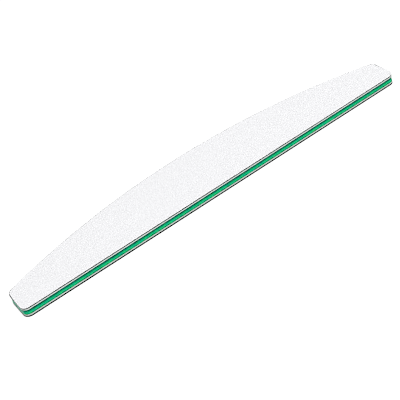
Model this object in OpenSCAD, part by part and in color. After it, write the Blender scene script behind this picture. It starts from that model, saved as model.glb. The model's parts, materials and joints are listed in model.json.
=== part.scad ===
// Half-moon emery board: a coated abrasive sheet on each face of a foam-cushioned plastic core.
// The long edge is straight, the opposite edge is arched, and both ends are blunt with round corners.
// +X runs along the board, +Y from the straight edge to the arched edge, +Z through the thickness.
// The origin is the middle of the outline, on the lower filing face.

/* [Outline] */
// Overall length of the board
board_l = 178; // [120:1:220]
// Width from the straight edge to the crown of the arched edge
board_w = 28; // [22:0.5:40]
// Width of each blunt end, up to where its line meets the arch
end_w = 13; // [9:0.5:18]
// Radius of the corners on the straight edge
heel_r = 2.75; // [1:0.25:4]
// Radius of the corners on the arched edge
tip_r = 3.25; // [1:0.25:4.25]

/* [Core] */
// Thickness of the plastic core board
core_t = 2; // [0.8:0.1:3.2]
// How far the core's cut edge stands back from the widest layer
core_inset = 0.04; // [0:0.02:0.4]

/* [Cushions] */
// Thickness of each foam cushion
foam_t = 0.34; // [0.3:0.02:1.5]
// How far the foam's cut edge stands back
foam_inset = 0.06; // [0:0.02:0.4]

/* [Glue films] */
// Thickness of each glue film
glue_t = 0.04; // [0.03:0.01:0.2]
// How far the glue stops short of the cut edge
glue_inset = 0.3; // [0:0.02:0.6]

/* [Abrasive sheets] */
// Thickness of the backing paper
paper_t = 0.2; // [0.1:0.01:0.5]
// How far the paper's cut edge stands back
paper_inset = 0.02; // [0:0.02:0.4]
// Thickness of the resin that anchors the grain
resin_t = 0.16; // [0.06:0.02:0.4]
// Thickness of the mineral grain layer
grain_t = 0.2; // [0.08:0.02:0.5]
// How far the grain stands back where the cut has crumbled it
grain_inset = 0.04; // [0:0.02:0.4]
// Thickness of the anti-clog top coat
topcoat_t = 0.22; // [0.04:0.02:0.4]
// How far the top coat stands back from the cut edge
topcoat_inset = 0.02; // [0:0.02:0.4]

/* [Hidden] */

corner_fn = 48;
arch_fn = 720;
// How far the straight-sided region runs past the crown
trim_over = 1;

// The arch is one circle through both end corners and the crown
arch_rise = board_w - end_w;
arch_r = (pow(board_l / 2, 2) + pow(arch_rise, 2)) / (2 * arch_rise);
arch_y = board_w / 2 - arch_r;

// Centres of the corner circles: each touches the two edges that it joins
heel_x = board_l / 2 - heel_r;
heel_y = -board_w / 2 + heel_r;
tip_x = board_l / 2 - tip_r;
tip_y = arch_y + sqrt(pow(arch_r - tip_r, 2) - pow(tip_x, 2));
// Direction from the arch's centre through the tip circle's centre, to the point where the two touch
tip_angle = atan2(tip_y - arch_y, tip_x);

// Height of each layer above the middle of the core, going outwards
core_top = core_t / 2;
foam_base = core_top + glue_t;
foam_top = foam_base + foam_t;
paper_base = foam_top + glue_t;
resin_base = paper_base + paper_t;
grain_base = resin_base + resin_t;
topcoat_base = grain_base + grain_t;
face_z = topcoat_base + topcoat_t;

// The straight-sided region between the points where the corner circles touch the edges.
// Its upper side lies outside the arch, so that the arch's own circle trims it.
function rim_half(inset) = [
    [heel_x, -board_w / 2 + inset],
    [board_l / 2 - inset, heel_y],
    [board_l / 2 - inset, tip_y],
    [(arch_r - inset) * cos(tip_angle), arch_y + (arch_r - inset) * sin(tip_angle)],
    [(arch_r - inset) * cos(tip_angle), board_w / 2 + trim_over]
];
function rim(inset) = let (half = rim_half(inset), last = len(half) - 1)
    concat(half, [for (i = [last:-1:0]) [-half[i].x, half[i].y]]);

module outline(inset) {
    intersection() {
        translate([0, arch_y]) circle(r = arch_r - inset, $fn = arch_fn);
        polygon(rim(inset));
    }
    for (side = [-1, 1]) {
        translate([side * heel_x, heel_y]) circle(r = heel_r - inset, $fn = corner_fn);
        translate([side * tip_x, tip_y]) circle(r = tip_r - inset, $fn = corner_fn);
    }
}

// One layer of the upper half, standing on base above the middle of the core
module upper_layer(base, thickness, inset) {
    translate([0, 0, face_z + base]) linear_extrude(thickness) outline(inset);
}

// The same layer of the lower half, as far below the middle of the core
module lower_layer(base, thickness, inset) {
    translate([0, 0, face_z - base - thickness]) linear_extrude(thickness) outline(inset);
}

module core_board() {
    color("mediumseagreen") upper_layer(-core_top, core_t, core_inset);
}

module upper_core_glue() {
    color("lightyellow") upper_layer(core_top, glue_t, glue_inset);
}

module upper_foam_cushion() {
    color("whitesmoke") upper_layer(foam_base, foam_t, foam_inset);
}

module upper_sheet_glue() {
    color("lightyellow") upper_layer(foam_top, glue_t, glue_inset);
}

module upper_backing_paper() {
    color("ivory") upper_layer(paper_base, paper_t, paper_inset);
}

module upper_anchor_resin() {
    color("dimgray") upper_layer(resin_base, resin_t, 0);
}

module upper_grain_layer() {
    color("darkslategray") upper_layer(grain_base, grain_t, grain_inset);
}

module upper_top_coat() {
    color("ghostwhite") upper_layer(topcoat_base, topcoat_t, topcoat_inset);
}

module lower_core_glue() {
    color("lightyellow") lower_layer(core_top, glue_t, glue_inset);
}

module lower_foam_cushion() {
    color("whitesmoke") lower_layer(foam_base, foam_t, foam_inset);
}

module lower_sheet_glue() {
    color("lightyellow") lower_layer(foam_top, glue_t, glue_inset);
}

module lower_backing_paper() {
    color("ivory") lower_layer(paper_base, paper_t, paper_inset);
}

module lower_anchor_resin() {
    color("dimgray") lower_layer(resin_base, resin_t, 0);
}

module lower_grain_layer() {
    color("darkslategray") lower_layer(grain_base, grain_t, grain_inset);
}

module lower_top_coat() {
    color("ghostwhite") lower_layer(topcoat_base, topcoat_t, topcoat_inset);
}

core_board();
upper_core_glue();
upper_foam_cushion();
upper_sheet_glue();
upper_backing_paper();
upper_anchor_resin();
upper_grain_layer();
upper_top_coat();
lower_core_glue();
lower_foam_cushion();
lower_sheet_glue();
lower_backing_paper();
lower_anchor_resin();
lower_grain_layer();
lower_top_coat();
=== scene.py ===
# %% [markdown]
# # A half-moon emery board
# The board is a sandwich. A green plastic core lies in the middle, and each face adds a foam cushion, a
# backing paper, a resin full of mineral grain and a pale coat that keeps dust from sticking. A die stamps
# the whole sandwich out in one blow, so every layer shows on the cut edge. The CAD model already holds each
# layer at its true size. This lesson gives the layers the surfaces that the blow and the factory leave.

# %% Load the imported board
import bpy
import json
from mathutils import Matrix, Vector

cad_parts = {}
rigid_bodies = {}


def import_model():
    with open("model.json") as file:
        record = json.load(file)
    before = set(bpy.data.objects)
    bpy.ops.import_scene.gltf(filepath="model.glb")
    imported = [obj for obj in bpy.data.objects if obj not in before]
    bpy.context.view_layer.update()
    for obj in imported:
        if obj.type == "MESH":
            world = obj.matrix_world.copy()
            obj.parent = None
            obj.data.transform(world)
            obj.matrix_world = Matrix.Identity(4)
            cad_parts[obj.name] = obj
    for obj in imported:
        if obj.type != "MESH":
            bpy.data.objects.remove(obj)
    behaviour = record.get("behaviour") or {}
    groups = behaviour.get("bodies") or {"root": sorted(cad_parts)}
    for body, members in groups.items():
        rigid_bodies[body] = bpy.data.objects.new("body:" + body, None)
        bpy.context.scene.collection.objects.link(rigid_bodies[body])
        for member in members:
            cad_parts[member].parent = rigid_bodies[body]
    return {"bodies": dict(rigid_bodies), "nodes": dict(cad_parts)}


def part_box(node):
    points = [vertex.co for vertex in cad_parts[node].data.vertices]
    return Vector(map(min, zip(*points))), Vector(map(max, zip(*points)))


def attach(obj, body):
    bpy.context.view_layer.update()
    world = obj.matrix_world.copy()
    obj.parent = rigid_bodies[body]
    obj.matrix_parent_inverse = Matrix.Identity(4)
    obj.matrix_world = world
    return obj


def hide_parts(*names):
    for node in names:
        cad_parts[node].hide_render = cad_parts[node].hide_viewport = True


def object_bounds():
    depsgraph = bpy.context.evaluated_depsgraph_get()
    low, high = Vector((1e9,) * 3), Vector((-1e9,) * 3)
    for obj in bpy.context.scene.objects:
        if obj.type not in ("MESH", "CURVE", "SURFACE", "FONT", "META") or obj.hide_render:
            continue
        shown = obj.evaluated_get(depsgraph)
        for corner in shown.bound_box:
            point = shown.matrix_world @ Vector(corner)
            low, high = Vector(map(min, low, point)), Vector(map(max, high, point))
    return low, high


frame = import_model()
cad_low, cad_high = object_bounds()
print("CAD box in metres:", tuple(cad_low), tuple(cad_high))

# %% Tools that the cells below share
import json
import math
import random

import bmesh
import bpy
from mathutils import Matrix, Quaternion, Vector, noise

MM = 0.001
BODY = "root"
if BODY not in frame["bodies"]:
    BODY = next(iter(frame["bodies"]))
print("every piece rides on", BODY)

# %% [markdown]
# ## Camera
# The camera comes first, because everything is seen through it. It looks down on the board from the side of
# the straight edge, and the picture is rolled so that the board climbs to the right. The roll is a turn about
# the line of sight, so it is one rotation after the aim.

# %% Place the camera
CAMERA_AZIMUTH = math.radians(-24.357)
CAMERA_ELEVATION = math.radians(38.252)
CAMERA_ROLL = math.radians(-16.991)
CAMERA_DISTANCE = 398.55 * MM
CAMERA_AIM = Vector((-6.303, -3.801, -5.49)) * MM
CAMERA_LENS = 91.58
CAMERA_SENSOR = 36.0
CAMERA_NEAR = 1 * MM
CAMERA_FAR = 20.0

sight = Vector((math.sin(CAMERA_AZIMUTH) * math.cos(CAMERA_ELEVATION),
                -math.cos(CAMERA_AZIMUTH) * math.cos(CAMERA_ELEVATION),
                math.sin(CAMERA_ELEVATION)))
camera_data = bpy.data.cameras.new("camera")
camera_data.lens = CAMERA_LENS
camera_data.sensor_width = CAMERA_SENSOR
camera_data.clip_start = CAMERA_NEAR
camera_data.clip_end = CAMERA_FAR
camera = bpy.data.objects.new("camera", camera_data)
camera.location = CAMERA_AIM + sight * CAMERA_DISTANCE
camera.rotation_mode = "QUATERNION"
camera.rotation_quaternion = (-sight).to_track_quat("-Z", "Y") @ Quaternion((0, 0, 1), CAMERA_ROLL)
bpy.context.scene.collection.objects.link(camera)
bpy.context.scene.camera = camera
print("camera stands at", tuple(round(c / MM, 1) for c in camera.location), "mm")

# %% [markdown]
# ## Node helpers
# Every finish below is a small tree of shader nodes on Object coordinates, which are metres here. A pattern's
# scale is therefore one divided by the size of its features in metres, and `per_mm` says it in plain words.

# %% Helpers for materials
def per_mm(size):
    """Texture scale for features of that size in millimetres."""
    return 1 / (size * MM)


def new_material(name):
    """A material with its node tree, its Principled shader and its Object coordinates."""
    material = bpy.data.materials.new(name)
    material.use_nodes = True
    nodes = material.node_tree.nodes
    shader = nodes["Principled BSDF"]
    place = nodes.new("ShaderNodeTexCoord")
    return material, material.node_tree, shader, place.outputs["Object"]


def add_node(tree, kind, inputs=(), **settings):
    """A node with its settings and input values. An input value may be a socket, which is linked."""
    node = tree.nodes.new(kind)
    for key, value in settings.items():
        setattr(node, key, value)
    for key, value in dict(inputs).items():
        if isinstance(value, bpy.types.NodeSocket):
            tree.links.new(value, node.inputs[key])
        else:
            node.inputs[key].default_value = value
    return node


def stretched(tree, place, scale):
    """The coordinates scaled along each axis, which stretches a pattern the other way."""
    return add_node(tree, "ShaderNodeMapping", {"Vector": place, "Scale": scale}).outputs["Vector"]


def noise_value(tree, place, size, detail=2.0, roughness=0.5):
    """Soft noise from 0 to 1 with features of that size in millimetres."""
    return add_node(tree, "ShaderNodeTexNoise", {
        "Vector": place, "Scale": per_mm(size), "Detail": detail, "Roughness": roughness}).outputs["Fac"]


def cell_value(tree, place, size):
    """A flat random value for each cell of that size in millimetres."""
    cells = add_node(tree, "ShaderNodeTexVoronoi", {"Vector": place, "Scale": per_mm(size)})
    return add_node(tree, "ShaderNodeSeparateColor", {"Color": cells.outputs["Color"]}).outputs["Red"]


def cell_distance(tree, place, size):
    """Distance from the middle of each cell, for cells of that size in millimetres."""
    cells = add_node(tree, "ShaderNodeTexVoronoi", {"Vector": place, "Scale": per_mm(size)})
    return cells.outputs["Distance"]


def height_share(tree, place, low, high):
    """How far a point has climbed from height low to height high, from 0 to 1."""
    height = add_node(tree, "ShaderNodeSeparateXYZ", {"Vector": place}).outputs["Z"]
    return add_node(tree, "ShaderNodeMapRange", {
        "Value": height, "From Min": low, "From Max": high}).outputs["Result"]


def length_share(tree, place, inner, outer):
    """How far a point lies from inner to outer towards either end, from 0 to 1."""
    along = add_node(tree, "ShaderNodeSeparateXYZ", {"Vector": place}).outputs["X"]
    distance = add_node(tree, "ShaderNodeMath", {0: along}, operation="ABSOLUTE").outputs["Value"]
    return add_node(tree, "ShaderNodeMapRange", {
        "Value": distance, "From Min": inner, "From Max": outer}).outputs["Result"]


def weigh(tree, value, factor, added):
    """value times factor, plus added. Each may be a number or a socket."""
    return add_node(tree, "ShaderNodeMath", {0: value, 1: factor, 2: added},
                    operation="MULTIPLY_ADD").outputs["Value"]


def ramp(tree, value, stops):
    """A colour ramp over value. Each stop is its place and its colour."""
    node = add_node(tree, "ShaderNodeValToRGB", {"Fac": value})
    band = node.color_ramp
    while len(band.elements) < len(stops):
        band.elements.new(1.0)
    for element, (place, colour) in zip(band.elements, stops):
        element.position = place
        element.color = (*colour, 1.0)
    return node.outputs["Color"]


MIX_SHARE, MIX_FIRST, MIX_SECOND, MIX_RESULT = 0, 6, 7, 2


def blend(tree, share, first, second, how="MIX"):
    """Two colours mixed by share. The sockets go by number, because the node has several of one name."""
    node = add_node(tree, "ShaderNodeMix", data_type="RGBA", blend_type=how)
    for index, value in ((MIX_SHARE, share), (MIX_FIRST, first), (MIX_SECOND, second)):
        if isinstance(value, bpy.types.NodeSocket):
            tree.links.new(value, node.inputs[index])
        elif index == MIX_SHARE:
            node.inputs[index].default_value = value
        else:
            node.inputs[index].default_value = (*value, 1.0)
    return node.outputs[MIX_RESULT]


def bump(tree, shader, height, depth):
    """Bump of that depth in millimetres on the shader's normal, over any bump that is there."""
    old = shader.inputs["Normal"].links
    node = add_node(tree, "ShaderNodeBump", {"Height": height, "Distance": depth * MM})
    if old:
        tree.links.new(old[0].from_socket, node.inputs["Normal"])
    tree.links.new(node.outputs["Normal"], shader.inputs["Normal"])


def set_surface(tree, shader, colour, roughness, shine):
    """Links the base colour, and sets the roughness and the specular level on their own sockets."""
    tree.links.new(colour, shader.inputs["Base Color"])
    shader.inputs["Roughness"].default_value = roughness
    shader.inputs["Specular IOR Level"].default_value = shine

# %% [markdown]
# ## The outline
# All layers share one outline: a straight edge, two blunt ends with round corners, and an arch that is part
# of a large circle. The widths and radii of the ends are driving sizes, and the length and the width come
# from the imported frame.

# %% Sizes of the outline
END_WIDTH = 13 * MM
HEEL_RADIUS = 2.75 * MM
TIP_RADIUS = 3.25 * MM

half_length = cad_high.x
straight_y = cad_low.y
crown_y = -cad_low.y
arch_rise = crown_y - straight_y - END_WIDTH
arch_radius = (half_length ** 2 + arch_rise ** 2) / (2 * arch_rise)
arch_centre = Vector((0, crown_y - arch_radius, 0))
heel_x = half_length - HEEL_RADIUS
heel_y = straight_y + HEEL_RADIUS
tip_x = half_length - TIP_RADIUS
tip_y = arch_centre.y + math.sqrt((arch_radius - TIP_RADIUS) ** 2 - tip_x ** 2)
tip_turn = math.atan2(tip_y - arch_centre.y, tip_x)
print("arch radius", round(arch_radius / MM, 1), "mm")

# %% [markdown]
# A layer's blank could be traced with a list of points. Here one vertex is drawn round the outline as a pen
# is: `spin` turns it about each corner's centre and about the arch's, and a straight stretch is one extruded
# edge. Long edges are then cut into short ones, so that the cut side has enough points for the marks that the
# die leaves on it.

# %% Draw the outline with one moving vertex
CORNER_STEPS = 18
ARCH_STEPS = 96
JOIN_PARTS = 20


def draw_line(bm, vert, reach):
    """Draws a straight stretch from vert. Returns its far vertex."""
    far = bmesh.ops.extrude_vert_indiv(bm, verts=[vert])["verts"][0]
    bmesh.ops.translate(bm, verts=[far], vec=reach)
    return far


def draw_arc(bm, vert, centre, turn, steps=CORNER_STEPS):
    """Draws an arc from vert about centre. Returns its far vertex."""
    made = bmesh.ops.spin(bm, geom=[vert], cent=centre, axis=(0, 0, 1), angle=turn, steps=steps)
    return next(item for item in made["geom_last"] if isinstance(item, bmesh.types.BMVert))


def cut_evenly(bm, step):
    """Cuts every edge into pieces of about step, the longest edges first."""
    while True:
        longest = max(edge.calc_length() for edge in bm.edges)
        cuts = round(longest / step) - 1
        if cuts < 1:
            return
        alike = [edge for edge in bm.edges if round(edge.calc_length() / step) - 1 == cuts]
        bmesh.ops.subdivide_edges(bm, edges=alike, cuts=cuts)


def outline_face(inset, step):
    """A bmesh with one face in the board's outline, drawn in by inset."""
    bm = bmesh.new()
    pen = bm.verts.new((-heel_x, straight_y + inset, 0))
    pen = draw_line(bm, pen, (2 * heel_x, 0, 0))
    pen = draw_arc(bm, pen, Vector((heel_x, heel_y, 0)), math.pi / 2)
    pen = draw_line(bm, pen, (0, tip_y - heel_y, 0))
    pen = draw_arc(bm, pen, Vector((tip_x, tip_y, 0)), tip_turn)
    pen = draw_arc(bm, pen, arch_centre, math.pi - 2 * tip_turn, ARCH_STEPS)
    pen = draw_arc(bm, pen, Vector((-tip_x, tip_y, 0)), tip_turn)
    pen = draw_line(bm, pen, (0, heel_y - tip_y, 0))
    draw_arc(bm, pen, Vector((-heel_x, heel_y, 0)), math.pi / 2)
    bmesh.ops.remove_doubles(bm, verts=bm.verts[:], dist=step / JOIN_PARTS)
    cut_evenly(bm, step)
    bmesh.ops.contextual_create(bm, geom=bm.edges[:])
    return bm

# %% [markdown]
# ## A stamped layer
# Each layer starts as that flat face, extruded to its thickness. Rings of edges round the cut give the side
# enough points to shape, and `press` then says how far each point of the cut stands back. Layer heights and
# set-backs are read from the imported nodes, so the layers stay where the CAD model has them.

# %% Make a layer and shape its cut edge
UPRIGHT = MM / 100


def layer_of(node):
    """The node's lower and upper height, and how far its cut edge stands back from the outline."""
    low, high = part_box(node)
    return low.z, high.z, low.y - straight_y


def stamped_layer(node, step, rings, press):
    """A bmesh of the node's layer. press(place, share) is the push inwards at a share of the thickness."""
    low, high, inset = layer_of(node)
    bm = outline_face(inset, step)
    bmesh.ops.translate(bm, verts=bm.verts[:], vec=(0, 0, low))
    made = bmesh.ops.extrude_face_region(bm, geom=bm.faces[:])
    top = [item for item in made["geom"] if isinstance(item, bmesh.types.BMVert)]
    bmesh.ops.translate(bm, verts=top, vec=(0, 0, high - low))
    upright = [edge for edge in bm.edges if abs(edge.verts[0].co.z - edge.verts[1].co.z) > UPRIGHT]
    bmesh.ops.subdivide_edges(bm, edges=upright, cuts=rings - 1, use_grid_fill=True)
    bmesh.ops.recalc_face_normals(bm, faces=bm.faces[:])
    bm.normal_update()
    outward = [(vert, Vector((vert.normal.x, vert.normal.y, 0)).normalized()) for vert in bm.verts]
    for vert, direction in outward:
        share = (vert.co.z - low) / (high - low)
        vert.co -= direction * press(vert.co, share)
    for face in bm.faces:
        face.smooth = True
    for edge in bm.edges:
        edge.smooth = all(len(face.verts) <= 4 for face in edge.link_faces)
    return bm


def finish_piece(bm, name, materials, slot, *nodes):
    """Makes the bmesh a piece that rides on the board and stands for these nodes."""
    mesh = bpy.data.meshes.new(name)
    bm.to_mesh(mesh)
    bm.free()
    for material in materials:
        mesh.materials.append(material)
    piece = bpy.data.objects.new(name, mesh)
    bpy.context.scene.collection.objects.link(piece)
    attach(piece, BODY)
    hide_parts(*nodes)
    mesh.calc_loop_triangles()
    print(name, "has", len(mesh.loop_triangles), "triangles")
    return piece

# %% [markdown]
# ## Green core
# The core is a strip of rubbery plastic, coloured right through. The die squeezes it while it cuts, so the
# freed edge springs back hollow, with fine upright streaks where the blade dragged. Its colour also follows
# the height as painted light: painted shade at the top of the cut, under the upper sheet, a painted
# highlight on the lower part, and painted shade again at the foot. The hollow is a smooth push along the
# thickness, the streaks are noise with its height stretched, and the painted light follows the height. Seen
# at a slant, a short end looks paler and bluer than the long edge, for a cause that is not known. A strong
# tint or a strong gloss alone gives that tone, but from behind it looks like a cap of another plastic. So the
# ends get a little of both: a pale tint, which is a painted sheen, that fades in round the corners, and the
# gloss of smooth plastic, in a second material, because one material holds one gloss level.

# %% Plastic of the core
core_low, core_high = layer_of("core_board")[:2]
print("the core fills heights", round(core_low / MM, 2), "to", round(core_high / MM, 2), "mm")

STREAK = 0.3
STREAK_STRETCH = 0.2
STREAK_MATT = [(0.3, (0.7, 0.7, 0.7)), (0.7, (0.5, 0.5, 0.5))]
PATCH = 1.1
DRAG = 0.45
# Tones over the height: painted shade at both ends and a painted highlight low down, with random tone from
# the streaks and patches.
CORE_TONES_AND_PAINTED_LIGHT = [
    (0.0, (0.012, 0.12, 0.04)), (0.1, (0.014, 0.24, 0.08)), (0.26, (0.012, 0.56, 0.215)),
    (0.45, (0.004, 0.37, 0.14)), (0.66, (0.004, 0.25, 0.11)), (0.82, (0.005, 0.11, 0.06)),
    (1.0, (0.006, 0.06, 0.035))]
HUE = 0.8
HUE_SHARE = 0.65
HUE_TONES = [(0.35, (0.0, 0.74, 1.3)), (0.65, (1.9, 1.14, 0.74))]
SIDE_SHINE = 0.03
END_SHINE = 0.5
# A pale tint at both ends of the core, which is a painted sheen.
PAINTED_SHEEN_SHARE = 0.36
PAINTED_SHEEN_REACH = 0.8 * MM
PAINTED_SHEEN_TONE = (0.3, 0.55, 0.6)


def core_plastic(name, shine):
    """The core's plastic, with one specular level. Its roughness follows the blade's streaks."""
    material, tree, shader, place = new_material(name)
    upright = stretched(tree, place, (1, 1, STREAK_STRETCH))
    dragged = noise_value(tree, upright, STREAK, detail=4, roughness=0.6)
    patches = noise_value(tree, place, PATCH, detail=3)
    # The colour follows the height as painted light: painted shade at the top and the foot of the cut, and a
    # painted highlight between them.
    height = weigh(tree, dragged, DRAG, height_share(tree, place, core_low, core_high))
    height = weigh(tree, patches, DRAG, height)
    colour = ramp(tree, weigh(tree, height, 1.0, -DRAG), CORE_TONES_AND_PAINTED_LIGHT)
    tint = ramp(tree, noise_value(tree, place, HUE), HUE_TONES)
    colour = blend(tree, HUE_SHARE, colour, blend(tree, 1.0, colour, tint, "MULTIPLY"))
    # Painted sheen: a pale tint that fades in towards both ends, beside the real gloss of the end material.
    ends = length_share(tree, place, half_length - PAINTED_SHEEN_REACH, half_length)
    painted_sheen = weigh(tree, weigh(tree, ends, ends, 0.0), PAINTED_SHEEN_SHARE, 0.0)
    colour = blend(tree, painted_sheen, colour, PAINTED_SHEEN_TONE)
    tree.links.new(colour, shader.inputs["Base Color"])
    tree.links.new(ramp(tree, dragged, STREAK_MATT), shader.inputs["Roughness"])
    shader.inputs["Specular IOR Level"].default_value = shine
    bump(tree, shader, dragged, depth=0.05)
    return material

# %% Shape the core's cut edge
CORE_STEP = 0.2 * MM
CORE_RINGS = 14
CORE_BACK = 0.02
HOLLOW = 0.13 * MM
GROOVE = 0.45
GROOVE_STRETCH = 0.15
GROOVE_DEPTH = 0.018
NOTCH = 1.7
NOTCH_LEVEL = 7 * MM
NOTCH_RARITY = 0.35
NOTCH_DEPTH = 0.05
END_FACING = 0.9


def core_press(place, share):
    """A hollow along the thickness, with fine grooves and a few wider notches."""
    hollow = HOLLOW * (1 - (2 * share - 1) ** 2)
    groove = noise.noise(Vector((place.x, place.y, place.z * GROOVE_STRETCH)) * per_mm(GROOVE))
    notch = max(0.0, noise.noise(Vector((place.x, place.y, NOTCH_LEVEL)) * per_mm(NOTCH)) - NOTCH_RARITY)
    return hollow + (CORE_BACK + GROOVE_DEPTH * groove + NOTCH_DEPTH * notch) * MM


core = stamped_layer("core_board", CORE_STEP, CORE_RINGS, core_press)
for face in core.faces:
    face.material_index = int(abs(face.normal.x) > END_FACING)
core_finishes = [core_plastic("core_plastic", SIDE_SHINE), core_plastic("core_end", END_SHINE)]
finish_piece(core, "green_core", core_finishes, "core_plastic", "core_board")

# %% [markdown]
# ## Foam cushions
# A thin foam lets each face give under the nail. The cut opens its cells, so the edge is pocked, and it
# bulges a little where the sandwich was squeezed. Cells are pits round scattered points, which is what
# Voronoi distance measures. Below the core the green seems to run on a little, so a stain lies over the foam
# there, as if the blade had dragged some plastic down.

# %% Foam material
FOAM_CELL = 0.16
FOAM_TONES_PIT_SHADE = [(0.1, (0.46, 0.53, 0.5)), (0.45, (0.66, 0.73, 0.695))]
FOAM_PATCH = 1.4
FOAM_PATCH_TONE = (0.6, 0.68, 0.64)
STAIN_REACH = 0.26 * MM
STAIN_SHARE = 0.85
STAIN_TONE = (0.015, 0.28, 0.1)


def green_stain(tree, place):
    """How much green lies on the foam: most just below the core, none on the upper foam."""
    fallen = height_share(tree, place, core_low - STAIN_REACH, core_low)
    below = height_share(tree, place, core_high, core_low)
    stain = weigh(tree, fallen, below, 0.0)
    return weigh(tree, stain, STAIN_SHARE, 0.0)


def cushion_foam():
    material, tree, shader, place = new_material("cushion_foam")
    cells = cell_distance(tree, place, FOAM_CELL)
    # The colour is darker towards the middle of each cell: painted shade in the pits.
    colour = ramp(tree, cells, FOAM_TONES_PIT_SHADE)
    colour = blend(tree, noise_value(tree, place, FOAM_PATCH), colour, FOAM_PATCH_TONE)
    colour = blend(tree, green_stain(tree, place), colour, STAIN_TONE)
    set_surface(tree, shader, colour, roughness=0.85, shine=0.2)
    bump(tree, shader, cells, depth=0.05)
    return material

# %% Shape the foam's cut edge
FOAM_STEP = 0.14 * MM
FOAM_RINGS = 5
BULGE = 0.04 * MM
PIT_SPACING = 0.34
PIT_WIDTH = 0.42
PIT_DEPTH = 0.07 * MM
FOAM_WAVE = 1.2
FOAM_WAVE_DEPTH = 0.01 * MM


def foam_press(place, share):
    """Bulges out half way up, with pits where the cut opened a cell, and a slight wave."""
    bulge = BULGE * (2 * share - 1) ** 2
    nearest = noise.voronoi(place * per_mm(PIT_SPACING))[0][0]
    pit = PIT_DEPTH * max(0.0, 1 - nearest / PIT_WIDTH)
    return bulge + pit + FOAM_WAVE_DEPTH * noise.noise(place * per_mm(FOAM_WAVE))


foam_finish = cushion_foam()
for side in ("upper", "lower"):
    foam = finish_piece(stamped_layer(side + "_foam_cushion", FOAM_STEP, FOAM_RINGS, foam_press),
                        side + "_foam", [foam_finish], "cushion_foam", side + "_foam_cushion")

# %% [markdown]
# ## Glue films
# The glue is a few hundredths of a millimetre thick and stops short of the cut, so only a hairline of it
# shows. The CAD nodes have the right shape already and just get a finish.

# %% Glue finish on the CAD nodes
BLOTCH = 0.8
GLUE_TONES = [(0.3, (0.5, 0.47, 0.36)), (0.7, (0.62, 0.6, 0.5))]


def glue_film():
    material, tree, shader, place = new_material("glue_film")
    blotches = noise_value(tree, place, BLOTCH)
    set_surface(tree, shader, ramp(tree, blotches, GLUE_TONES), roughness=0.35, shine=0.5)
    bump(tree, shader, blotches, depth=0.02)
    return material


glue_finish = glue_film()
for name, node in sorted(frame["nodes"].items()):
    if name.endswith("_glue"):
        node.data.materials.clear()
        node.data.materials.append(glue_finish)
        print(name, "keeps its CAD shape and gets the glue finish")

# %% [markdown]
# ## Backing paper
# The abrasive sheet starts as a stiff paper. Its cut edge is a stack of matted fibres, so the edge is soft
# and layered, with noise stretched along the board.

# %% Paper material
FIBRE = 0.06
FIBRE_STRETCH = 0.3
PAPER_TONES = [(0.3, (0.42, 0.46, 0.43)), (0.7, (0.62, 0.67, 0.635))]


def backing_paper():
    material, tree, shader, place = new_material("backing_paper")
    matted = stretched(tree, place, (FIBRE_STRETCH, FIBRE_STRETCH, 1))
    fibres = noise_value(tree, matted, FIBRE, detail=3, roughness=0.6)
    set_surface(tree, shader, ramp(tree, fibres, PAPER_TONES), roughness=0.9, shine=0.2)
    bump(tree, shader, fibres, depth=0.03)
    return material

# %% Shape the paper's cut edge
PAPER_STEP = 0.2 * MM
PAPER_RINGS = 5
PAPER_BACK = 0.03
SHEET = 0.08
SHEET_STRETCH = 0.25
SHEET_DEPTH = 0.018


def paper_press(place, share):
    """Thin sheets that end a little further in or out."""
    along = Vector((place.x * SHEET_STRETCH, place.y * SHEET_STRETCH, place.z))
    return (PAPER_BACK + SHEET_DEPTH * noise.noise(along * per_mm(SHEET))) * MM


paper_finish = backing_paper()
for side in ("upper", "lower"):
    finish_piece(stamped_layer(side + "_backing_paper", PAPER_STEP, PAPER_RINGS, paper_press),
                 side + "_paper", [paper_finish], "backing_paper", side + "_backing_paper")

# %% [markdown]
# ## Anchor resin
# A hard resin holds the grain by its roots. It is brittle, so the die leaves a chipped, dark edge with
# lumps of mineral standing in it.

# %% Resin and mineral materials
RESIN_CHIP = 0.25
RESIN_TONES = [(0.3, (0.012, 0.014, 0.013)), (0.7, (0.045, 0.052, 0.046))]
GRAIN_CELL = 0.2
GRAIN_TONES = [(0.0, (0.015, 0.017, 0.016)), (0.8, (0.05, 0.055, 0.052)), (1.0, (0.3, 0.31, 0.3))]
GRAIN_PIT = 0.06


def anchor_resin():
    material, tree, shader, place = new_material("anchor_resin")
    chips = noise_value(tree, place, RESIN_CHIP, detail=3, roughness=0.6)
    set_surface(tree, shader, ramp(tree, chips, RESIN_TONES), roughness=0.55, shine=0.3)
    bump(tree, shader, chips, depth=0.05)
    return material


def bare_grain():
    material, tree, shader, place = new_material("bare_grain")
    tone = cell_value(tree, place, GRAIN_CELL)
    set_surface(tree, shader, ramp(tree, tone, GRAIN_TONES), roughness=0.42, shine=0.4)
    bump(tree, shader, noise_value(tree, place, GRAIN_PIT), depth=0.02)
    return material

# %% Shape the resin's cut edge
RESIN_STEP = 0.2 * MM
RESIN_RINGS = 3
CHIP = 0.3
CHIP_SWELL = 0.9
CHIP_SWELL_SHARE = 0.6
CHIP_BACK = 0.1
CHIP_DEPTH = 0.05
CHIP_LEAST = 0.07
LUMP_CHANCE = 0.4
LUMP_RISE = 0.05 * MM
BARE = 1


def chipped_press(place, share):
    """Chips of two sizes, always deep enough to leave room for the lumps."""
    chips = noise.noise(place * per_mm(CHIP))
    chips += CHIP_SWELL_SHARE * noise.noise(place * per_mm(CHIP_SWELL))
    return max(CHIP_LEAST, CHIP_BACK + CHIP_DEPTH * chips) * MM


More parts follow.
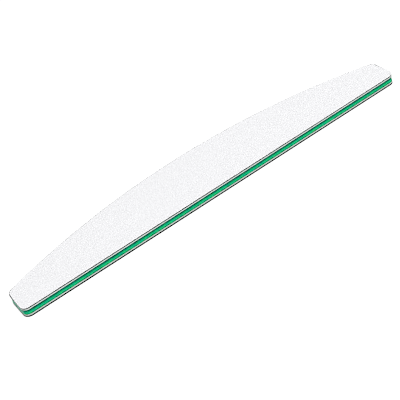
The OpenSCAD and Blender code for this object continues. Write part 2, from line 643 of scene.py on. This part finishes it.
def raise_lumps(bm, rand):
    """Draws random faces of the cut edge out to points, as grain that the die left standing.

    The lumps differ from run to run. The order of the faces does too, which is the likely reason.
    """
    bm.normal_update()
    side = [face for face in bm.faces if len(face.verts) == 4 and rand.random() < LUMP_CHANCE]
    made = bmesh.ops.poke(bm, faces=side, offset=LUMP_RISE)
    for face in made["faces"]:
        face.material_index = BARE
        face.smooth = False


resin_finish = anchor_resin()
grain_finish = bare_grain()
for side in ("upper", "lower"):
    node = side + "_anchor_resin"
    layer = stamped_layer(node, RESIN_STEP, RESIN_RINGS, chipped_press)
    raise_lumps(layer, random.Random(node))
    finish_piece(layer, side + "_resin", [resin_finish, grain_finish], "anchor_resin", node)

# %% [markdown]
# ## Grain and top coat
# The filing face is a bed of mineral grain under a pale coat that is thinner than the grain is tall, so the
# face is pebbled, and the proudest crystals break through it. Both are made from a flat grid whose rows run
# from the straight edge to the arch, so that the grid's rim lies exactly on the outline.

# %% Lay a grid on the outline
def straight_side(x, inset):
    """The outline's y on the side of the straight edge."""
    beyond = abs(x) - heel_x
    if beyond <= 0:
        return straight_y + inset
    return heel_y - math.sqrt(max(0.0, (HEEL_RADIUS - inset) ** 2 - beyond ** 2))


def arch_side(x, inset):
    """The outline's y on the side of the arch."""
    radius = arch_radius - inset
    if abs(x) <= radius * math.cos(tip_turn):
        return arch_centre.y + math.sqrt(radius ** 2 - x ** 2)
    beyond = abs(x) - tip_x
    return tip_y + math.sqrt(max(0.0, (TIP_RADIUS - inset) ** 2 - beyond ** 2))


def outline_grid(columns, rows, inset):
    """A flat grid that fills the outline, drawn in by inset. Columns are closer together at the ends."""
    bm = bmesh.new()
    bmesh.ops.create_grid(bm, x_segments=columns, y_segments=rows, size=1.0)
    radius = TIP_RADIUS - inset
    straight_share = tip_x / (tip_x + radius * math.pi / 2)
    for vert in bm.verts:
        along, across = vert.co.x, (vert.co.y + 1) / 2
        x = along / straight_share * tip_x
        if abs(along) > straight_share:
            turn = (abs(along) - straight_share) / (1 - straight_share) * math.pi / 2
            x = math.copysign(tip_x + radius * math.sin(turn), along)
        bottom, top = straight_side(x, inset), arch_side(x, inset)
        vert.co = (x, bottom + across * (top - bottom), 0)
    return bm

# %% [markdown]
# The coat's upper rim looks cut clean, and its lower rim is dark. The coat is drawn broken back to the dark
# grain along the rim, which is painted shade and wear: it stands for the shade where the lower rim turns
# down to the floor, and for the shade on the coat's rounded rim along the arch, darkest at its corners. So
# the painted shade and wear are measured inwards from the outline, stronger on the lower face and at those
# corners.

# %% Painted shade and wear along the rim
# How far in and how strongly the coat's rim is darkened: painted shade and wear.
RIM_SHADE_AND_WEAR_BAND = {"upper": 0.16 * MM, "lower": 0.5 * MM}
RIM_SHADE_AND_WEAR = {"upper": 0.35, "lower": 1.0}
FOOT_SHADE_AND_WEAR = {"upper": 0.6, "lower": 1.0}
RIM_DROP = {"upper": 0.05 * MM, "lower": 0.0}
RIM_FILL = {"upper": 0.0, "lower": 1.0}
ARCH_SHADE_AND_WEAR = 0.5
CORNER_SHADE_AND_WEAR = 1.6


def rim_distance(x, y):
    """How far a point lies inside the outline."""
    return min(y - straight_side(x, 0), arch_side(x, 0) - y, half_length - abs(x))


def rim_shade_and_wear_level(x, y, side, inset):
    """Painted shade and wear of the coat, from 1 on its rim to 0 inside, or more than 1 on the arch and its
    corners.
    """
    outward = max(0.0, (abs(x) - tip_x) / TIP_RADIUS)
    upward = min(1.0, max(0.0, (y - heel_y) / (tip_y - heel_y)))
    stronger = 1 + CORNER_SHADE_AND_WEAR * outward * upward ** 2 + (ARCH_SHADE_AND_WEAR if y > tip_y else 0)
    depth = (rim_distance(x, y) - inset) / (RIM_SHADE_AND_WEAR_BAND[side] * stronger)
    return max(0.0, 1 - depth) * stronger

# %% Relief of the filing face
PEBBLE = 0.46 * MM
PEBBLE_REACH = 0.75
PEBBLE_RISE = 0.09 * MM
SWELL = 2.5
SWELL_RISE = 0.012 * MM
FACE_SEED = {"upper": 3, "lower": 11}


def sink(x, y, seed):
    """How far the coat lies below the face's highest level."""
    place = Vector((x, y, seed * MM))
    nearest = noise.voronoi(place / PEBBLE)[0][0]
    dome = max(0.0, 1 - (nearest / PEBBLE_REACH) ** 2)
    return (1 - dome) * PEBBLE_RISE + SWELL_RISE * (1 + noise.noise(place * per_mm(SWELL)))


def turn_over(bm, node):
    """Flips a bmesh of the lower half, made face up at the node's place, within its own thickness."""
    if node.startswith("lower"):
        low, high = layer_of(node)[:2]
        flip = Matrix.Translation((0, 0, low + high)) @ Matrix.Scale(-1, 4, (0, 0, 1))
        bmesh.ops.transform(bm, matrix=flip, verts=bm.verts[:])
        bmesh.ops.reverse_faces(bm, faces=bm.faces[:])

# %% Coat material
COAT_CELL = 0.26
COAT_TONES = [(0.0, (0.79, 0.792, 0.811)), (0.3, (0.861, 0.861, 0.872)), (1.0, (0.896, 0.896, 0.905))]
GRIT = 0.17
GRIT_GAP_SHADE_TONES = [(0.35, (1, 1, 1)), (0.75, (0.935, 0.935, 0.945))]
# The dark tone and its patches on the coat's rim: painted shade and wear.
DARK_PATCH = 0.22
DARK_PATCH_SHARES = [(0.3, (0, 0, 0)), (0.75, (1, 1, 1))]
SHADE_AND_WEAR_TONE = (0.03, 0.034, 0.032)
POWDER = 0.09
VEIL_CELL = 0.3
VEIL_TONES = [(0.0, (0.68, 0.685, 0.705)), (0.4, (0.85, 0.85, 0.862)), (1.0, (0.9, 0.9, 0.91))]
VEIL_PIT = 0.07


def top_coat():
    """The pale coat, dark in patches where the mesh's rim value asks: painted shade and wear along the rim.
    """
    material, tree, shader, place = new_material("top_coat")
    colour = ramp(tree, cell_value(tree, place, COAT_CELL), COAT_TONES)
    grit = cell_distance(tree, place, GRIT)
    # Darker between the grit's bumps: painted shade in the gaps.
    colour = blend(tree, 1.0, colour, ramp(tree, grit, GRIT_GAP_SHADE_TONES), "MULTIPLY")
    rim_shade_and_wear = add_node(tree, "ShaderNodeAttribute", attribute_name="rim_shade_and_wear").outputs["Fac"]
    patchy_shade_and_wear = weigh(tree, rim_shade_and_wear, cell_value(tree, place, DARK_PATCH), rim_shade_and_wear)
    colour = blend(tree, ramp(tree, patchy_shade_and_wear, DARK_PATCH_SHARES), colour, SHADE_AND_WEAR_TONE)
    set_surface(tree, shader, colour, roughness=0.8, shine=0.2)
    bump(tree, shader, grit, depth=-0.05)
    bump(tree, shader, noise_value(tree, place, POWDER, detail=3, roughness=0.6), depth=0.03)
    return material


def coated_grain():
    material, tree, shader, place = new_material("coated_grain")
    tone = cell_value(tree, place, VEIL_CELL)
    set_surface(tree, shader, ramp(tree, tone, VEIL_TONES), roughness=0.6, shine=0.3)
    bump(tree, shader, noise_value(tree, place, VEIL_PIT), depth=0.02)
    return material

# %% Shape the coat
COAT_COLUMNS = 720
COAT_ROWS = 100


def coat_skin(node, seed):
    """A bmesh of the pebbled coat over its flat underside."""
    low, high, inset = layer_of(node)
    side = node.split("_")[0]
    bm = outline_grid(COAT_COLUMNS, COAT_ROWS, inset)
    rim_shade_and_wear = bm.verts.layers.float.new("rim_shade_and_wear")
    for vert in bm.verts:
        # The rim value is painted shade and wear: it darkens the coat along the rim, and on the lower face it
        # also lifts the rim to the highest level.
        shade_and_wear_level = rim_shade_and_wear_level(vert.co.x, vert.co.y, side, inset)
        vert.co.z = high - sink(vert.co.x, vert.co.y, seed) * max(0, 1 - RIM_FILL[side] * shade_and_wear_level)
        vert.co.z -= RIM_DROP[side] if vert.is_boundary else 0
        vert[rim_shade_and_wear] = RIM_SHADE_AND_WEAR[side] * shade_and_wear_level
    rim = [edge for edge in bm.edges if edge.is_boundary]
    made = bmesh.ops.extrude_edge_only(bm, edges=rim)["geom"]
    for vert in (item for item in made if isinstance(item, bmesh.types.BMVert)):
        vert.co.z = low
        # The coat's cut wall is dark as well: painted shade and wear.
        vert[rim_shade_and_wear] = FOOT_SHADE_AND_WEAR[side]
    foot = [item for item in made if isinstance(item, bmesh.types.BMEdge) and item.is_boundary]
    bmesh.ops.contextual_create(bm, geom=foot)
    bmesh.ops.recalc_face_normals(bm, faces=bm.faces[:])
    for face in bm.faces:
        face.smooth = len(face.verts) == 4
    turn_over(bm, node)
    return bm


coat_finish = top_coat()
for side, seed in FACE_SEED.items():
    node = side + "_top_coat"
    finish_piece(coat_skin(node, seed), side + "_coat", [coat_finish], "top_coat", node)

# %% [markdown]
# A crystal could be made one at a time, but each operator call then walks over all that is there already, and
# thousands of calls take minutes. Instead a grid gives every crystal one square. The squares are split apart,
# and a loop shrinks, turns and shifts each one. Then they are doubled back to back and poked, which draws
# each square out to a point above and one below. Each operator is called once for the whole face, and each
# crystal ends as a closed eight-sided splinter.

# %% Crystals for a whole face
CRYSTAL_COLUMNS = 420
CRYSTAL_ROWS = 52
CRYSTAL = 0.15 * MM
CRYSTAL_SIZES = (0.6, 1.1)
ARM_LENGTHS = (0.7, 1.1)
CRYSTAL_SHIFT = 0.16 * MM
CRYSTAL_TILT = 0.04 * MM
CRYSTAL_POINT = 0.1 * MM
CRYSTAL_PROUD = 0.05 * MM
CRYSTAL_LEAN = 0.06 * MM
RIM_SHRINK = 0.3
BARE_CHANCE = 0.02
VEILED = 2
MERGE = 1e-7


def crystal_bed(node, seed, rand):
    """A bmesh of crystals whose tops stand just proud of the coat, spread over the outline."""
    low, high, inset = layer_of(node)
    bm = outline_grid(CRYSTAL_COLUMNS, CRYSTAL_ROWS, inset + CRYSTAL_SHIFT)
    bmesh.ops.split_edges(bm, edges=bm.edges[:])
    side = node.split("_")[0]
    for face in bm.faces:
        centre = face.calc_center_median()
        seat = centre + Vector((rand.uniform(-1, 1), rand.uniform(-1, 1), 0)) * CRYSTAL_SHIFT
        if rim_distance(seat.x, seat.y) < inset + CRYSTAL_LEAN:
            seat = centre
        top = high - sink(seat.x, seat.y, seed) + rand.uniform(0, CRYSTAL_PROUD)
        seat.z = min(top, high) - CRYSTAL_POINT
        # Crystals near the rim take the dark grain material: painted shade and wear along the rim.
        shaded_and_worn = rand.random() * RIM_SHADE_AND_WEAR_BAND[side] > rim_distance(seat.x, seat.y) - inset
        face.material_index = BARE if shaded_and_worn or rand.random() < BARE_CHANCE else VEILED
        turn = Matrix.Rotation(rand.uniform(0, math.tau), 3, "Z")
        size = CRYSTAL * rand.uniform(*CRYSTAL_SIZES)
        for corner in face.verts:
            arm = turn @ (corner.co - centre).normalized() * size * rand.uniform(*ARM_LENGTHS)
            arm.z = rand.uniform(-1, 1) * CRYSTAL_TILT
            if rim_distance(seat.x + arm.x, seat.y + arm.y) < inset + CRYSTAL_LEAN:
                arm *= RIM_SHRINK
            corner.co = seat + arm
    made = bmesh.ops.duplicate(bm, geom=bm.verts[:] + bm.edges[:] + bm.faces[:])["geom"]
    under = [item for item in made if isinstance(item, bmesh.types.BMFace)]
    bmesh.ops.reverse_faces(bm, faces=under)
    bm.normal_update()
    bmesh.ops.poke(bm, faces=bm.faces[:], offset=CRYSTAL_POINT)
    bmesh.ops.remove_doubles(bm, verts=bm.verts[:], dist=MERGE)
    for vert in bm.verts:
        vert.co.z = min(vert.co.z, high)
    turn_over(bm, node)
    return bm

# %% Make the grain layers
GRAIN_STEP = 0.25 * MM
GRAIN_RINGS = 3

veil_finish = coated_grain()
for side, seed in FACE_SEED.items():
    node = side + "_grain_layer"
    rand = random.Random(node)
    crystals = crystal_bed(side + "_top_coat", seed, rand)
    loose = bpy.data.meshes.new("crystals")
    crystals.to_mesh(loose)
    crystals.free()
    layer = stamped_layer(node, GRAIN_STEP, GRAIN_RINGS, chipped_press)
    raise_lumps(layer, rand)
    layer.from_mesh(loose)
    bpy.data.meshes.remove(loose)
    finish_piece(layer, side + "_grain", [resin_finish, grain_finish, veil_finish], "mineral_grain", node)

# %% [markdown]
# ## Studio
# The board lies on a white floor that is lit so brightly that its shadow almost vanishes, as on a product
# page. The floor glows a little by itself, which lifts the shadow and throws light back at the cut edge.

# %% Floor, lamps and sky
FLOOR_SIZE = 3.0
FLOOR_TONE = (0.3, 0.3, 0.3, 1)
FLOOR_GLOW = 0.8
FLOOR_DROP = 0.01 * MM
WHITE = (1, 1, 1, 1)
SKY = 0.45
LAMPS = {
    "key_lamp": {"place": (-0.02, -0.55, 0.75), "size": 0.45, "power": 5.2},
    "overhead_lamp": {"place": (0.22, 0.3, 0.8), "size": 0.7, "power": 2.2}}


def studio_floor():
    material, tree, shader, place = new_material("studio_floor")
    shader.inputs["Base Color"].default_value = FLOOR_TONE
    shader.inputs["Roughness"].default_value = 1.0
    shader.inputs["Specular IOR Level"].default_value = 0.0
    shader.inputs["Emission Color"].default_value = WHITE
    shader.inputs["Emission Strength"].default_value = FLOOR_GLOW
    return material


def add_floor():
    bm = bmesh.new()
    bmesh.ops.create_grid(bm, x_segments=1, y_segments=1, size=FLOOR_SIZE / 2)
    bmesh.ops.translate(bm, verts=bm.verts[:], vec=(0, 0, -FLOOR_DROP))
    mesh = bpy.data.meshes.new("floor")
    bm.to_mesh(mesh)
    bm.free()
    mesh.materials.append(studio_floor())
    floor = bpy.data.objects.new("floor", mesh)
    bpy.context.scene.collection.objects.link(floor)


def add_lamp(name, place, size, power):
    """A square soft box at place, aimed at the board."""
    data = bpy.data.lights.new(name, "AREA")
    data.size = size
    data.energy = power
    lamp = bpy.data.objects.new(name, data)
    lamp.location = place
    lamp.rotation_mode = "QUATERNION"
    lamp.rotation_quaternion = (-Vector(place)).to_track_quat("-Z", "Y")
    bpy.context.scene.collection.objects.link(lamp)


add_floor()
for name, settings in LAMPS.items():
    add_lamp(name, **settings)
world = bpy.data.worlds.new("studio")
world.use_nodes = True
sky = world.node_tree.nodes["Background"]
sky.inputs["Color"].default_value = WHITE
sky.inputs["Strength"].default_value = SKY
bpy.context.scene.world = world
print("a floor", FLOOR_SIZE, "m across and", len(LAMPS), "lamps")
bpy.context.scene.view_settings.view_transform = "Standard"
bpy.context.scene.cycles.denoising_prefilter = "NONE"

# %% [markdown]
# ## Crisp picture
# A small product picture is often sharpened a little when it is scaled down, which darkens thin lines and
# brings out the grit. A sharpening filter over the render does the same. It is a look of the picture and not
# of the board, so no piece of the board carries it.

# %% Sharpen the picture
CRISPNESS = 0.09

scene = bpy.context.scene
scene.use_nodes = True
tree = scene.node_tree
tree.nodes.clear()
seen = tree.nodes.new("CompositorNodeRLayers")
crisp = tree.nodes.new("CompositorNodeFilter")
crisp.filter_type = "SHARPEN_DIAMOND"
crisp.inputs["Fac"].default_value = CRISPNESS
shown = tree.nodes.new("CompositorNodeComposite")
tree.links.new(seen.outputs["Image"], crisp.inputs["Image"])
tree.links.new(crisp.outputs["Image"], shown.inputs["Image"])
print("picture sharpened by", CRISPNESS)
